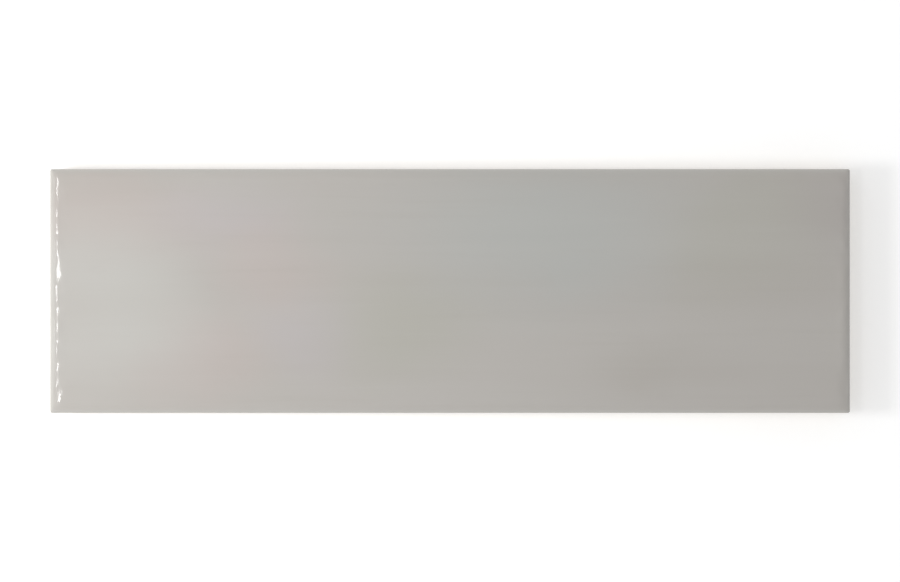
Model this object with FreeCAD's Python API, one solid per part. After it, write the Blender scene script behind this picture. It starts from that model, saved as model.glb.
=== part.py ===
# A glazed ceramic wall tile, dry-pressed, glazed on its face and fired as one piece.
# The tile lies on its back. X runs along its length, Y across its width and Z up through its thickness.
# The origin is under the middle of the tile, on the plane that the feet of the back's ribs stand on.
# All sizes are in millimetres.

import FreeCAD
import Part

import math
import os

from FreeCAD import Vector

# Overall size, measured over the upright lands that spacers and neighbouring tiles meet
tile_length = 201.2
tile_width = 61.5
tile_thickness = 9.0
corner_radius = 0.6

# Edge of the glazed face, which rolls over in a quarter of an ellipse from the flat down to the land
roll_width = 2.4
roll_drop = 1.1
face_corner_radius = 1.6
roll_sections = 9

# Sides, with an upright land under the roll and a relief below it that leaves room for grout
land_height = 3.0
side_relief = 0.4
back_arris = 0.4

# Back, with a raised lattice of ribs that gives the adhesive its key
key_depth = 0.7
back_margin = 5.0
rib_width = 2.0
rib_flank = 0.45
cells_along = 12
cells_across = 4
pocket_corner_radius = 1.5
lattice_corner_radius = 2.5


def outline(length, width, radius, height):
    """A closed rectangle with round corners, centred on the Z axis at that height."""
    centre_x = length / 2 - radius
    centre_y = width / 2 - radius
    signs = [(1, 1), (-1, 1), (-1, -1), (1, -1)]
    arcs = []
    for quarter, (sign_x, sign_y) in enumerate(signs):
        centre = Vector(sign_x * centre_x, sign_y * centre_y, height)
        points = []
        for turn in (0, 45, 90):
            angle = math.radians(90 * quarter + turn)
            points.append(centre + Vector(math.cos(angle), math.sin(angle), 0) * radius)
        arcs.append(Part.Arc(*points))
    edges = []
    for arc, following in zip(arcs, arcs[1:] + arcs[:1]):
        edges.append(arc.toShape())
        edges.append(Part.LineSegment(arc.EndPoint, following.StartPoint).toShape())
    return Part.Wire(edges)


def tile_outline(inset, height, radius=corner_radius):
    """The tile's own outline, taken in by the inset on every side."""
    return outline(tile_length - 2 * inset, tile_width - 2 * inset, radius, height)


def pressed_sides():
    """The body from the floor of the back's key up to the foot of the rolled edge."""
    roll_foot = tile_thickness - roll_drop
    sections = [
        tile_outline(side_relief + back_arris, key_depth),
        tile_outline(side_relief, key_depth + back_arris),
        tile_outline(0, roll_foot - land_height),
        tile_outline(0, roll_foot),
    ]
    return Part.makeLoft(sections, True, True)


def rolled_face():
    """The glazed face: the flat and the edge that rolls over to the upright land."""
    roll_foot = tile_thickness - roll_drop
    sections = []
    for step in range(roll_sections):
        angle = math.radians(90 * step / (roll_sections - 1))
        share = 1 - math.cos(angle)
        radius = corner_radius + (face_corner_radius - corner_radius) * share
        sections.append(tile_outline(roll_width * share, roll_foot + roll_drop * math.sin(angle), radius))
    return Part.makeLoft(sections, True, False)


def drafted_pad(length, width, radius, flank):
    """A pad on the key's depth, as large as stated at the foot and wider by the flank at the root."""
    foot = outline(length, width, radius, 0)
    root = outline(length + 2 * flank, width + 2 * flank, radius + flank, key_depth)
    return Part.makeLoft([foot, root], True, True)


def rib_lattice():
    """The ribs of the back: a pad with a grid of pockets, whose walls slope as the die lets them go."""
    lattice_length = tile_length - 2 * back_margin
    lattice_width = tile_width - 2 * back_margin
    pitch_along = (lattice_length - rib_width) / cells_along
    pitch_across = (lattice_width - rib_width) / cells_across
    pad = drafted_pad(lattice_length, lattice_width, lattice_corner_radius, rib_flank)
    pocket = drafted_pad(pitch_along - rib_width, pitch_across - rib_width, pocket_corner_radius, -rib_flank)
    pockets = []
    for column in range(cells_along):
        for row in range(cells_across):
            x = (column - (cells_along - 1) / 2) * pitch_along
            y = (row - (cells_across - 1) / 2) * pitch_across
            pockets.append(pocket.translated(Vector(x, y, 0)))
    return pad.cut(pockets)


def wall_tile():
    """The whole tile as the one solid that it is fired as."""
    return pressed_sides().fuse([rolled_face(), rib_lattice()]).removeSplitter()


os.makedirs("parts", exist_ok=True)
wall_tile().exportStep("parts/wall_tile.step")
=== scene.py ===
import math

import bpy

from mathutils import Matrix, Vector


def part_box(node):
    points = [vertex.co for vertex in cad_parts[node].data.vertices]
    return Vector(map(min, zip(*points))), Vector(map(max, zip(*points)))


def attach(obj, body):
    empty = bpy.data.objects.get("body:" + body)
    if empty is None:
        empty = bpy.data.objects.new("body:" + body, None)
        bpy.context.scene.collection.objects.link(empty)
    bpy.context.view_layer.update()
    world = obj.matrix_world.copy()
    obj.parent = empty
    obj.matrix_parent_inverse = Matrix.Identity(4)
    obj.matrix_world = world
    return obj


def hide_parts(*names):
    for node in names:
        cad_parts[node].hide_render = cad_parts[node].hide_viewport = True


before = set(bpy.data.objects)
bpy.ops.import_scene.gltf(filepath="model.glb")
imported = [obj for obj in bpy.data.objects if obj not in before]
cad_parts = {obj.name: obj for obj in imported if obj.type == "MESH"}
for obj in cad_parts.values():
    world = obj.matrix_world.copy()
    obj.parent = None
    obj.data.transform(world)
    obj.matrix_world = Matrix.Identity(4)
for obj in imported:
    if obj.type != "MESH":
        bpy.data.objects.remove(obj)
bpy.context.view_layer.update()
mm = 0.001

# The wall tile. Clay powder is pressed face up in a steel die, which gives the face its rolled edge
# and the sides an upright land for spacers. Body and glaze are fired together, so it is one piece.
# Its face and sides start as a block whose lines lie close together over the roll.
body_low, body_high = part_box("wall_tile")
tile_length = body_high.x - body_low.x
tile_width = body_high.y - body_low.y
tile_thickness = body_high.z - body_low.z
roll_width = 2.4 * mm
roll_drop = 1.1 * mm
corner_radius = 0.6 * mm
face_corner_radius = 1.6 * mm
land_height = 3.0 * mm
side_relief = 0.4 * mm
back_arris = 0.4 * mm
key_depth = 0.7 * mm
roll_lines = 12
lines_along = 381
lines_across = 127
side_lines = 19
quarter_turn = math.pi / 2


class Wire:
    """What one node gives, so that a rule of the tile's shape or colour reads as plain arithmetic."""

    def __init__(self, socket):
        self.socket = socket

    def __add__(self, other):
        return maths("ADD", self, other)

    def __radd__(self, other):
        return maths("ADD", other, self)

    def __sub__(self, other):
        return maths("SUBTRACT", self, other)

    def __rsub__(self, other):
        return maths("SUBTRACT", other, self)

    def __mul__(self, other):
        return maths("MULTIPLY", self, other)

    def __rmul__(self, other):
        return maths("MULTIPLY", other, self)

    def __truediv__(self, other):
        return maths("DIVIDE", self, other)


def feed(socket, value):
    """Gives a socket its value, or the wire that its value comes by."""
    if isinstance(value, Wire):
        socket.id_data.links.new(value.socket, socket)
    else:
        socket.default_value = value


def node(tree, kind, output, inputs=None, **settings):
    """Adds a node with its settings and what feeds its inputs, and gives the wire of one output."""
    made = tree.nodes.new(kind)
    for name, value in settings.items():
        setattr(made, name, value)
    for name, value in (inputs or {}).items():
        feed(made.inputs[name], value)
    return Wire(made.outputs[output])


def maths(operation, *values):
    """One step of arithmetic, in the tree that its wires belong to."""
    tree = next(value.socket.id_data for value in values if isinstance(value, Wire))
    return node(tree, "ShaderNodeMath", "Value", dict(enumerate(values)), operation=operation)


def split(vector):
    """The three parts of a place or a direction."""
    parts = vector.socket.id_data.nodes.new("ShaderNodeSeparateXYZ")
    feed(parts.inputs[0], vector)
    return [Wire(part) for part in parts.outputs]


def joined(tree, *parts):
    """A place or a direction from its three parts."""
    return node(tree, "ShaderNodeCombineXYZ", "Vector", dict(enumerate(parts)))


def part_way(value, start, end):
    """0 before the start, 1 after the end, and a straight rise from one to the other."""
    limits = {"Value": value, "From Min": start, "From Max": end}
    return node(value.socket.id_data, "ShaderNodeMapRange", "Result", limits)


def take(tree, sizes):
    """Gives a tree a named input for each size, and gives the wires of all its inputs so far."""
    kinds = {float: "NodeSocketFloat", int: "NodeSocketInt", bpy.types.Material: "NodeSocketMaterial"}
    for name, size in sizes.items():
        socket = tree.interface.new_socket(name, in_out="INPUT", socket_type=kinds[type(size)])
        socket.default_value = size
    inlet = tree.nodes.new("NodeGroupInput")
    return {socket.name: Wire(inlet.outputs[socket.name]) for socket in tree.interface.items_tree}


tile_tree = bpy.data.node_groups.new("Pressed and glazed tile", "GeometryNodeTree")
given = take(tile_tree, {
    "Length": tile_length,
    "Width": tile_width,
    "Thickness": tile_thickness,
    "Roll Width": roll_width,
    "Roll Drop": roll_drop,
    "Corner Radius": corner_radius,
    "Face Corner Radius": face_corner_radius,
    "Land Height": land_height,
    "Side Relief": side_relief,
    "Back Arris": back_arris,
    "Key Depth": key_depth,
})
half_length = given["Length"] * 0.5
half_width = given["Width"] * 0.5

block = node(tile_tree, "GeometryNodeMeshCube", "Mesh", {
    "Size": (1, 1, 1),
    "Vertices X": lines_along,
    "Vertices Y": lines_across,
    "Vertices Z": side_lines,
})
normal = node(tile_tree, "GeometryNodeInputNormal", "Normal")
facing_down = maths("LESS_THAN", split(normal)[2], -0.5)
block = node(tile_tree, "GeometryNodeDeleteGeometry", "Geometry",
             {"Geometry": block, "Selection": facing_down}, domain="FACE")


def line_inset(place, lines, half_size):
    """How far in from the tile's edge a line of the block lies, and its share of the rolled edge."""
    count = (0.5 - maths("ABSOLUTE", place)) * (lines - 1)
    turn = maths("MINIMUM", count / roll_lines, 1.0)
    rolled = given["Roll Width"] * (1.0 - maths("COSINE", turn * quarter_turn))
    beyond = maths("MAXIMUM", count - roll_lines, 0.0) / ((lines - 1) / 2 - roll_lines)
    return rolled + beyond * (half_size - given["Roll Width"]), turn


def rounded(inset, nearest, radius, half_size, other_inset):
    """A line's distance from the middle, drawn in where the corner is round."""
    reach_here = maths("MAXIMUM", nearest + radius - inset, 0.0)
    reach_there = maths("MAXIMUM", nearest + radius - other_inset, 0.0)
    slant = maths("SQRT", reach_here * reach_here + reach_there * reach_there)
    return half_size - inset - reach_here * (1.0 - radius / slant)


place = node(tile_tree, "GeometryNodeInputPosition", "Position")
place_x, place_y, place_z = split(place)
inset_x, turn_x = line_inset(place_x, lines_along, half_length)
inset_y, turn_y = line_inset(place_y, lines_across, half_width)
nearest = maths("MINIMUM", inset_x, inset_y)
turn = maths("MINIMUM", turn_x, turn_y)

# The corner's radius grows over the roll, and on the flat it fades out over five times itself
radii_to_fade = 5.0
fade_end = given["Roll Width"] + radii_to_fade * given["Face Corner Radius"]
growth = given["Face Corner Radius"] - given["Corner Radius"]
radius = given["Corner Radius"] + part_way(nearest, 0.0, given["Roll Width"]) * growth
radius = radius * (1.0 - part_way(nearest, given["Roll Width"], fade_end))
reach_x = rounded(inset_x, nearest, radius, half_length, inset_y)
reach_y = rounded(inset_y, nearest, radius, half_width, inset_x)

roll_foot = given["Thickness"] - given["Roll Drop"]
depth = (0.5 - place_z) * (roll_foot - given["Key Depth"])
height = roll_foot + given["Roll Drop"] * maths("SINE", turn * quarter_turn) - depth
arris_top = given["Key Depth"] + given["Back Arris"]
relief = given["Side Relief"] * (1.0 - part_way(height, arris_top, roll_foot - given["Land Height"]))
arris = given["Back Arris"] * (1.0 - part_way(height, given["Key Depth"], arris_top))
drawn_in = relief + arris
shaped = joined(
    tile_tree,
    maths("SIGN", place_x) * reach_x * (1.0 - drawn_in / half_length),
    maths("SIGN", place_y) * reach_y * (1.0 - drawn_in / half_width),
    height,
)
pressed = node(tile_tree, "GeometryNodeSetPosition", "Geometry", {"Geometry": block, "Position": shaped})

# The glaze's relief. The glaze is brushed on along the tile and melts into slow waves, and it beads
# on the rolled edge, most at the ends, where the brush leaves. It runs part way down the sides, and
# below its foot the bare body stands back by its thickness. Waves and beads are sunk, never raised.
slow_wave = 0.050 * mm
slow_waves_per_metre = 32.0
quick_wave = 0.012 * mm
quick_waves_per_metre = 130.0
stroke_relief = 0.008 * mm
strokes_per_metre = (14.0, 260.0, 30.0)
edge_wave = 0.380 * mm
edge_waves_per_metre = 150.0
edge_ripple = 0.240 * mm
edge_ripples_per_metre = 340.0
bead_start = (0.1 * mm, 1.2 * mm)
side_share = 0.30
sag = 0.040 * mm
glaze_thickness = 0.12 * mm
foot_slope = 0.35 * mm
foot_height = 6.6 * mm
run_length = 2.6 * mm
runs_per_metre = 55.0
drip_length = 0.9 * mm
drips_per_metre = 210.0


def between(value, start, end):
    """0 before the start, 1 after the end, and a smooth rise from one to the other."""
    limits = {"Value": value, "From Min": start, "From Max": end}
    tree = value.socket.id_data
    return node(tree, "ShaderNodeMapRange", "Result", limits, interpolation_type="SMOOTHSTEP")


def stretched(vector, scales):
    """A place with each of its parts scaled by itself."""
    tree = vector.socket.id_data
    return node(tree, "ShaderNodeVectorMath", "Vector", {0: vector, 1: scales}, operation="MULTIPLY")


def mottle(place, scale=1.0, detail=2.0, distortion=0.0):
    """Soft patches from 0 to 1, that many per metre, which follow the place and so never change."""
    settings = {"Vector": place, "Scale": scale, "Detail": detail, "Distortion": distortion}
    return node(place.socket.id_data, "ShaderNodeTexNoise", "Fac", settings)


def glaze_foot(place):
    """The height at which the glaze stops on the tile's sides, where it ran down and drew back."""
    along, across, _ = split(place)
    level = joined(place.socket.id_data, along, across, 0.0)
    runs = mottle(level, runs_per_metre, detail=2.5)
    drips = between(mottle(level, drips_per_metre, detail=1.0), 0.56, 0.74)
    return foot_height - run_length * runs - drip_length * drips


def on_roll(distance):
    """1 on the rolled edge and 0 on the flat, by the distance in from the edge."""
    return 1.0 - between(distance, given["Roll Width"] * 0.6, given["Roll Width"] * 1.6)


waves = slow_wave * mottle(place, slow_waves_per_metre)
waves = waves + quick_wave * mottle(place, quick_waves_per_metre)
strokes = stroke_relief * mottle(stretched(place, strokes_per_metre))
end_distance = half_length - maths("ABSOLUTE", place_x)
side_distance = half_width - maths("ABSOLUTE", place_y)
on_edge = maths("MAXIMUM", on_roll(end_distance), on_roll(side_distance) * side_share)
on_edge = on_edge * between(maths("MINIMUM", end_distance, side_distance), *bead_start)
beads = edge_wave * (mottle(place, edge_waves_per_metre, detail=0.0) - 0.5)
beads = beads + edge_ripple * (mottle(place, edge_ripples_per_metre, detail=0.0) - 0.5)
bare = 1.0 - between(place_z - glaze_foot(place), 0.0, foot_slope)
sunk = waves + strokes + on_edge * beads + sag + glaze_thickness * bare
sunk = maths("MAXIMUM", sunk, 0.0) * part_way(place_z, given["Key Depth"], arris_top)
inward = node(tile_tree, "ShaderNodeVectorMath", "Vector",
              {0: normal, "Scale": sunk * -1.0}, operation="SCALE")
body = node(tile_tree, "GeometryNodeSetPosition", "Geometry", {"Geometry": pressed, "Offset": inward})

# The back. The die leaves a lattice of ribs with a pocket in each cell, which key into the
# adhesive. Its walls slope and have soft shoulders, so that the pressed clay lets go of the die.
back_margin = 5.0 * mm
rib_width = 2.0 * mm
rib_flank = 0.45 * mm
rib_softening = 0.12 * mm
cells_along = 12
cells_across = 4
pocket_corner_radius = 1.5 * mm
lattice_corner_radius = 2.5 * mm
corner_steps = 6
wall_steps = 11


def give(tree, name, shape):
    """Ends a tree in a named output for its shape."""
    tree.interface.new_socket(name, in_out="OUTPUT", socket_type="NodeSocketGeometry")
    feed(tree.nodes.new("NodeGroupOutput").inputs[name], shape)


# One wall. Its section runs from the rib's foot to the key's floor, along a rectangle with round
# corners, outwards round the lattice (side 1) or inwards in a pocket (side -1).
wall_tree = bpy.data.node_groups.new("Drafted wall", "GeometryNodeTree")
wall_inputs = ("Length", "Width", "Corner Radius", "Flank", "Depth", "Softening", "Side")
wall_given = take(wall_tree, dict.fromkeys(wall_inputs, 0.0))
flank = wall_given["Flank"]
softening = wall_given["Softening"]
rectangle = node(wall_tree, "GeometryNodeCurvePrimitiveQuadrilateral", "Curve",
                 {"Width": wall_given["Length"], "Height": wall_given["Width"]})
corner_settings = {"Curve": rectangle, "Count": corner_steps, "Radius": wall_given["Corner Radius"]}
foot_line = node(wall_tree, "GeometryNodeFilletCurve", "Curve", corner_settings, mode="POLY")
straight = node(wall_tree, "GeometryNodeCurvePrimitiveLine", "Curve",
                {"Start": (0, 0, 0), "End": (1, 0, 0)})
straight = node(wall_tree, "GeometryNodeResampleCurve", "Curve",
                {"Curve": straight, "Count": wall_steps})
share = node(wall_tree, "GeometryNodeSplineParameter", "Factor")
reach = share * (flank + softening * 4.0) - softening * 2.0
rise = between(reach, softening * -1.0, flank + softening) * wall_given["Depth"]
section = joined(wall_tree, reach * wall_given["Side"], rise * -1.0, 0.0)
profile = node(wall_tree, "GeometryNodeSetPosition", "Geometry",
               {"Geometry": straight, "Position": section})
give(wall_tree, "Wall", node(wall_tree, "GeometryNodeCurveToMesh", "Mesh",
                             {"Curve": foot_line, "Profile Curve": profile}))

given = take(tile_tree, {
    "Back Margin": back_margin,
    "Rib Width": rib_width,
    "Rib Flank": rib_flank,
    "Rib Softening": rib_softening,
    "Cells Along": cells_along,
    "Cells Across": cells_across,
    "Pocket Corner Radius": pocket_corner_radius,
    "Lattice Corner Radius": lattice_corner_radius,
})
lattice_length = given["Length"] - 2.0 * given["Back Margin"]
lattice_width = given["Width"] - 2.0 * given["Back Margin"]
pitch_along = (lattice_length - given["Rib Width"]) / given["Cells Along"]
pitch_across = (lattice_width - given["Rib Width"]) / given["Cells Across"]


def drafted_wall(length, width, radius, side):
    """The wall round the lattice or round one pocket."""
    return node(tile_tree, "GeometryNodeGroup", "Wall", {
        "Length": length,
        "Width": width,
        "Corner Radius": radius,
        "Flank": given["Rib Flank"],
        "Depth": given["Key Depth"],
        "Softening": given["Rib Softening"],
        "Side": side,
    }, node_tree=wall_tree)


outer_wall = drafted_wall(lattice_length, lattice_width, given["Lattice Corner Radius"], 1.0)
outer_wall = node(tile_tree, "GeometryNodeFlipFaces", "Mesh", {"Mesh": outer_wall})
pocket_wall = drafted_wall(pitch_along - given["Rib Width"], pitch_across - given["Rib Width"],
                           given["Pocket Corner Radius"], -1.0)

faces_beside = node(tile_tree, "GeometryNodeInputMeshEdgeNeighbors", "Face Count")
on_rim = maths("COMPARE", faces_beside, 1.0, 0.1)
halfway = given["Key Depth"] * 0.5
at_foot = on_rim * maths("LESS_THAN", place_z, halfway)
at_floor = on_rim * maths("GREATER_THAN", place_z, halfway)


def rim_curve(mesh, selection):
    """The open edge of a mesh, as a closed line."""
    return node(tile_tree, "GeometryNodeMeshToCurve", "Curve", {"Mesh": mesh, "Selection": selection})


def together(*pieces):
    """Several meshes or lines as one."""
    join = tile_tree.nodes.new("GeometryNodeJoinGeometry")
    for piece in reversed(pieces):
        feed(join.inputs[0], piece)
    return Wire(join.outputs[0])


def flat_between(lines, level):
    """A flat face inside closed lines, with the inner ones left open."""
    face = node(tile_tree, "GeometryNodeFillCurve", "Mesh", {"Curve": lines})
    face = node(tile_tree, "GeometryNodeFlipFaces", "Mesh", {"Mesh": face})
    lift = joined(tile_tree, 0.0, 0.0, level)
    return node(tile_tree, "GeometryNodeTransform", "Geometry", {"Geometry": face, "Translation": lift})


pocket_floor = flat_between(rim_curve(pocket_wall, at_floor), given["Key Depth"])
pocket = together(pocket_wall, pocket_floor)
centres = node(tile_tree, "GeometryNodeMeshGrid", "Mesh", {
    "Size X": pitch_along * (given["Cells Along"] - 1.0),
    "Size Y": pitch_across * (given["Cells Across"] - 1.0),
    "Vertices X": given["Cells Along"],
    "Vertices Y": given["Cells Across"],
})
pockets = node(tile_tree, "GeometryNodeInstanceOnPoints", "Instances",
               {"Points": centres, "Instance": pocket})
pockets = node(tile_tree, "GeometryNodeRealizeInstances", "Geometry", {"Geometry": pockets})
feet_lines = together(rim_curve(outer_wall, at_foot), rim_curve(pockets, at_foot))
rib_feet = flat_between(feet_lines, 0.0)
margin_lines = together(rim_curve(outer_wall, at_floor), rim_curve(body, at_floor))
margin = flat_between(margin_lines, given["Key Depth"])

# The glaze's colour. A warm grey gloss glaze is brushed on along the tile, thicker in some places
# than in others, so it dries in faint strokes and clouds. It draws thin and pale on the edge, and
# that pale rim is partly painted highlight, standing for the light on the rolled edge.


def tone(red, green, blue):
    """A colour as a paint chart gives it, from 0 to 255, for a colour socket."""
    return (*(((part / 255 + 0.055) / 1.055) ** 2.4 for part in (red, green, blue)), 1.0)


def blended(under, over, share):
    """One colour laid over another, as far as the share says."""
    return node(share.socket.id_data, "ShaderNodeMix", 2, {0: share, 6: under, 7: over}, data_type="RGBA")


def layered(colour, layers):
    """A colour with tints laid over it one by one, each by its own wire and strength."""
    for tint, share, strength in layers:
        colour = blended(colour, tint, share * strength)
    return colour


plain_glaze = tone(183, 179, 174)
pale_glaze = tone(192, 191, 186)
blush_glaze = tone(191, 178, 174)
lilac_glaze = tone(186, 180, 181)
slate_glaze = tone(177, 180, 177)
olive_glaze = tone(177, 176, 166)
taupe_glaze = tone(170, 165, 157)
plum_glaze = tone(164, 156, 155)

finish = bpy.data.materials.new("glaze_over_biscuit")
finish.use_nodes = True
recipe = finish.node_tree
spot = node(recipe, "ShaderNodeTexCoord", "Object")
spot_x, spot_y, spot_z = split(spot)

# Where the brush left the glaze pale, thick or tinted, in millimetres from the tile's middle: tint,
# place along, place across, half length, half width, strength
brush_marks = [
    (taupe_glaze, -92, 25, 30, 16, 0.30),
    (blush_glaze, -80, 19, 28, 13, 0.40),
    # This pale mark near the left end is partly a paler cloud in the glaze and partly painted sheen of
    # the light from the left.
    (pale_glaze, -81, -3, 20, 25, 0.60),
    (lilac_glaze, -53, 19, 22, 10, 0.50),
    (blush_glaze, -46, 7, 17, 15, 0.40),
    (blush_glaze, -62, -17, 18, 15, 0.40),
    (lilac_glaze, -40, -12, 15, 14, 0.55),
    (olive_glaze, -13, -9, 27, 17, 0.60),
    (slate_glaze, 24, 15, 50, 24, 0.65),
    (olive_glaze, 75, 14, 22, 22, 0.50),
    (taupe_glaze, 82, 8, 30, 26, 0.06),
    (plum_glaze, 96, 21, 18, 16, 0.25),
    (taupe_glaze, 57, -18, 20, 9, 0.30),
]
drift_along = 30.0 * mm
drifts_along_per_metre = 24.0
drift_across = 12.0 * mm
drifts_across_per_metre = 61.0
cloud_heart = 0.1
cloud_rim = 1.25
broad_strokes_per_metre = (7.0, 70.0, 30.0)
fine_strokes_per_metre = (22.0, 520.0, 60.0)
pale_rim_band = (0.2 * mm, 1.4 * mm)

drifted_x = spot_x + drift_along * (mottle(spot, drifts_along_per_metre, detail=1.0) - 0.5)
drifted_y = spot_y + drift_across * (mottle(spot, drifts_across_per_metre, detail=1.0) - 0.5)
clouds = []
for tint, centre_x, centre_y, half_long, half_wide, strength in brush_marks:
    out_x = (drifted_x - centre_x * mm) / (half_long * mm)
    out_y = (drifted_y - centre_y * mm) / (half_wide * mm)
    away = maths("SQRT", out_x * out_x + out_y * out_y)
    clouds.append((tint, 1.0 - between(away, cloud_heart, cloud_rim), strength))
glaze = layered(plain_glaze, clouds)

broad_strokes = mottle(stretched(spot, broad_strokes_per_metre), distortion=0.3)
fine_strokes = mottle(stretched(spot, fine_strokes_per_metre), detail=3.0)
# The pale rim on the edge: partly the glaze drawing thin there, partly painted highlight of the lit
# rolled edge.
out_of_end = tile_length / 2 - maths("ABSOLUTE", spot_x)
out_of_side = tile_width / 2 - maths("ABSOLUTE", spot_y)
thin_glaze_and_edge_highlight = 1.0 - between(maths("MINIMUM", out_of_end, out_of_side), *pale_rim_band)
glaze = layered(glaze, [
    (pale_glaze, part_way(broad_strokes, 0.5, 0.85), 0.25),
    (taupe_glaze, part_way(broad_strokes, 0.5, 0.15), 0.22),
    (taupe_glaze, between(fine_strokes, 0.52, 0.80), 0.10),
    (pale_glaze, between(fine_strokes, 0.46, 0.20), 0.10),
    # the pale rim, partly painted highlight on the edge
    (pale_glaze, thin_glaze_and_edge_highlight, 0.50),
])

# The fired body's colour. Below the glaze's foot and on the back the biscuit shows, cream, dry and
# finely pitted, with a few iron specks, and with pale kiln wash on the feet of the ribs.
biscuit = tone(216, 204, 185)
warm_biscuit = tone(201, 185, 161)
pale_biscuit = tone(229, 221, 207)
iron_speck = tone(158, 128, 98)
kiln_wash = tone(231, 228, 221)
warm_clouds_per_metre = 70.0
grains_per_metre = 2600.0
pits_per_metre = 2300.0
specks_per_metre = 1500.0
wash_patches_per_metre = 130.0
wash_band = (0.02 * mm, 0.25 * mm)

warm_clouds = between(mottle(spot, warm_clouds_per_metre, detail=3.0), 0.45, 0.75)
grain = mottle(spot, grains_per_metre, detail=3.0)
pits = between(mottle(spot, pits_per_metre, detail=1.0), 0.66, 0.74)
specks = between(mottle(spot, specks_per_metre, detail=1.0), 0.755, 0.78)
washed = between(mottle(spot, wash_patches_per_metre, detail=3.0), 0.38, 0.62)
washed = washed * (1.0 - between(spot_z, *wash_band))
body_colour = layered(biscuit, [
    (warm_biscuit, warm_clouds, 0.6),
    (pale_biscuit, between(grain, 0.5, 0.8), 0.5),
    # The pits, which the bump also sinks, take the warmer, darker tone: painted shade in them.
    (warm_biscuit, pits, 0.3),
    (iron_speck, specks, 0.45),
    (kiln_wash, washed, 0.45),
])

# Both together. The glaze is smooth and glossy with a slight ripple, the biscuit dry and rough, and
# one gives way to the other at the glaze's foot.
biscuit_roughness = 0.88
glaze_roughness = 0.10 + fine_strokes * 0.05
ripples_per_metre = 500.0
glaze_ripple = mottle(spot, ripples_per_metre, detail=0.0) * 0.20 + fine_strokes * 0.08
biscuit_texture = grain * 0.9 - pits * 1.2
texture_depth = 0.03 * mm
foot_blend = 0.25 * mm
covered = between(spot_z - glaze_foot(spot), 0.0, foot_blend)
texture = biscuit_texture + covered * (glaze_ripple - biscuit_texture)
surface = recipe.nodes["Principled BSDF"]
feed(surface.inputs["Base Color"], blended(body_colour, glaze, covered))
feed(surface.inputs["Roughness"], biscuit_roughness - covered * (biscuit_roughness - glaze_roughness))
feed(surface.inputs["Normal"], node(recipe, "ShaderNodeBump", "Normal", {
    "Height": texture,
    "Distance": texture_depth,
    "Strength": 1.0,
}))

# The fired tile. Face, sides, margin, lattice and pockets close into one piece, with crisp edges
# only where the die leaves them, and the finish goes all over it.
weld_distance = 0.001 * mm
crisp_angle = math.radians(30)
given = take(tile_tree, {"Finish": finish})
whole = together(body, margin, outer_wall, rib_feet, pockets)
whole = node(tile_tree, "GeometryNodeMergeByDistance", "Geometry",
             {"Geometry": whole, "Distance": weld_distance})
whole = node(tile_tree, "GeometryNodeSetShadeSmooth", "Geometry",
             {"Geometry": whole, "Shade Smooth": True})
edge_angle = node(tile_tree, "GeometryNodeInputMeshEdgeAngle", "Unsigned Angle")
crisp = maths("GREATER_THAN", edge_angle, crisp_angle)
whole = node(tile_tree, "GeometryNodeSetShadeSmooth", "Geometry",
             {"Geometry": whole, "Selection": crisp, "Shade Smooth": False}, domain="EDGE")
whole = node(tile_tree, "GeometryNodeRealizeInstances", "Geometry", {"Geometry": whole})
whole = node(tile_tree, "GeometryNodeSetMaterial", "Geometry",
             {"Geometry": whole, "Material": given["Finish"]})
give(tile_tree, "Tile", whole)

tile = bpy.data.objects.new("glazed_tile", bpy.data.meshes.new("glazed_tile"))
bpy.context.scene.collection.objects.link(tile)
modifier = tile.modifiers.new("Pressing", "NODES")
modifier.node_group = tile_tree
for socket in tile_tree.interface.items_tree:
    if socket.in_out == "INPUT":
        modifier[socket.identifier] = socket.default_value
bpy.context.view_layer.update()
finished = tile.evaluated_get(bpy.context.evaluated_depsgraph_get())
tile_mesh = bpy.data.meshes.new_from_object(finished)
tile.modifiers.clear()
tile.data = tile_mesh

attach(tile, "root")
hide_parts("wall_tile")

# The floor. A wide, matt, pale sheet that the tile lies on, face up. It shows nearly white and
# keeps the tile's shadow, and throws less light on the sides than it shows.
floor_size = 6.0
floor_tone = tone(236, 236, 236)
floor_roughness = 0.9
floor_lift = 0.36
half = floor_size / 2
floor_corners = [(-half, -half, 0), (half, -half, 0), (half, half, 0), (-half, half, 0)]
floor_mesh = bpy.data.meshes.new("floor")
floor_mesh.from_pydata(floor_corners, [], [(0, 1, 2, 3)])
floor = bpy.data.objects.new("floor", floor_mesh)
bpy.context.scene.collection.objects.link(floor)


def seen_in(tree):
    """1 where the camera, a gloss or glass sees a thing, and 0 where the thing only lights others."""
    paths = tree.nodes.new("ShaderNodeLightPath")
    rays = Wire(paths.outputs["Is Camera Ray"]) + Wire(paths.outputs["Is Glossy Ray"])
    return maths("MINIMUM", rays + Wire(paths.outputs["Is Transmission Ray"]), 1.0)


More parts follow.
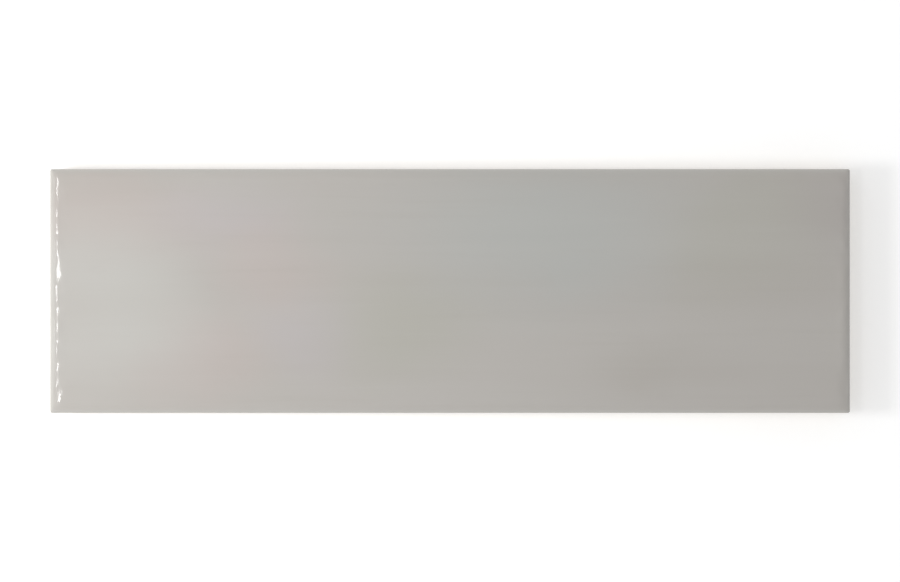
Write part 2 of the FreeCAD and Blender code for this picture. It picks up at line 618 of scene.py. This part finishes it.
floor_paint = bpy.data.materials.new("floor_paint")
floor_paint.use_nodes = True
floor_surface = floor_paint.node_tree.nodes["Principled BSDF"]
floor_surface.inputs["Base Color"].default_value = floor_tone
floor_surface.inputs["Roughness"].default_value = floor_roughness
floor_surface.inputs["Emission Color"].default_value = (1.0, 1.0, 1.0, 1.0)
feed(floor_surface.inputs["Emission Strength"], seen_in(floor_paint.node_tree) * floor_lift)
floor_mesh.materials.append(floor_paint)

# The light. A pale room, brighter at its walls than overhead and on the left than on the right, a
# round paper lamp near the tile's left end, and a small soft box that glints on the rolled edge.
ceiling_light = 0.46
wall_light = 0.74
window_light = 0.20
globe_place = (-0.28, -0.02, 0.25)
globe_power = 2.53
globe_radius = 0.06
softbox_place = (-0.38, 0.0, 1.05)
softbox_power = 0.66
softbox_size = 0.10

world = bpy.data.worlds.new("studio")
bpy.context.scene.world = world
world.use_nodes = True
room = world.node_tree
to_right, _, upward = split(node(room, "ShaderNodeTexCoord", "Generated"))
upward = maths("MAXIMUM", upward, 0.0)
room_light = ceiling_light + wall_light * maths("POWER", 1.0 - upward, 2.0) - window_light * to_right
room.nodes["Background"].inputs["Color"].default_value = (1.0, 1.0, 1.0, 1.0)
feed(room.nodes["Background"].inputs["Strength"], room_light + seen_in(room) * (1.0 - room_light))


def lamp(name, kind, place, power):
    """A lamp that faces the tile, out of the camera's sight."""
    light = bpy.data.lights.new(name, kind)
    light.energy = power
    holder = bpy.data.objects.new(name, light)
    bpy.context.scene.collection.objects.link(holder)
    holder.location = place
    holder.rotation_euler = Vector(place).to_track_quat("Z", "X").to_euler()
    holder.visible_camera = False
    return holder


globe = lamp("globe_on_left", "POINT", globe_place, globe_power)
globe.data.shadow_soft_size = globe_radius
globe.visible_glossy = False
softbox = lamp("softbox_beside_camera", "AREA", softbox_place, softbox_power)
softbox.data.size = softbox_size

# The camera. It looks straight down on the glazed face through a long lens, and the tile fills
# most of the frame's width.
camera_height = 1.26
sensor_width = 36.0
tile_share_of_frame = 0.89
nearest_seen = 0.01
camera = bpy.data.objects.new("camera", bpy.data.cameras.new("camera"))
bpy.context.scene.collection.objects.link(camera)
camera.location = (0, 0, camera_height)
frame_width = tile_length / tile_share_of_frame
camera.data.sensor_width = sensor_width
camera.data.lens = sensor_width * (camera_height - tile_thickness) / frame_width
camera.data.clip_start = nearest_seen
bpy.context.scene.camera = camera
bpy.context.scene.view_settings.view_transform = "Standard"
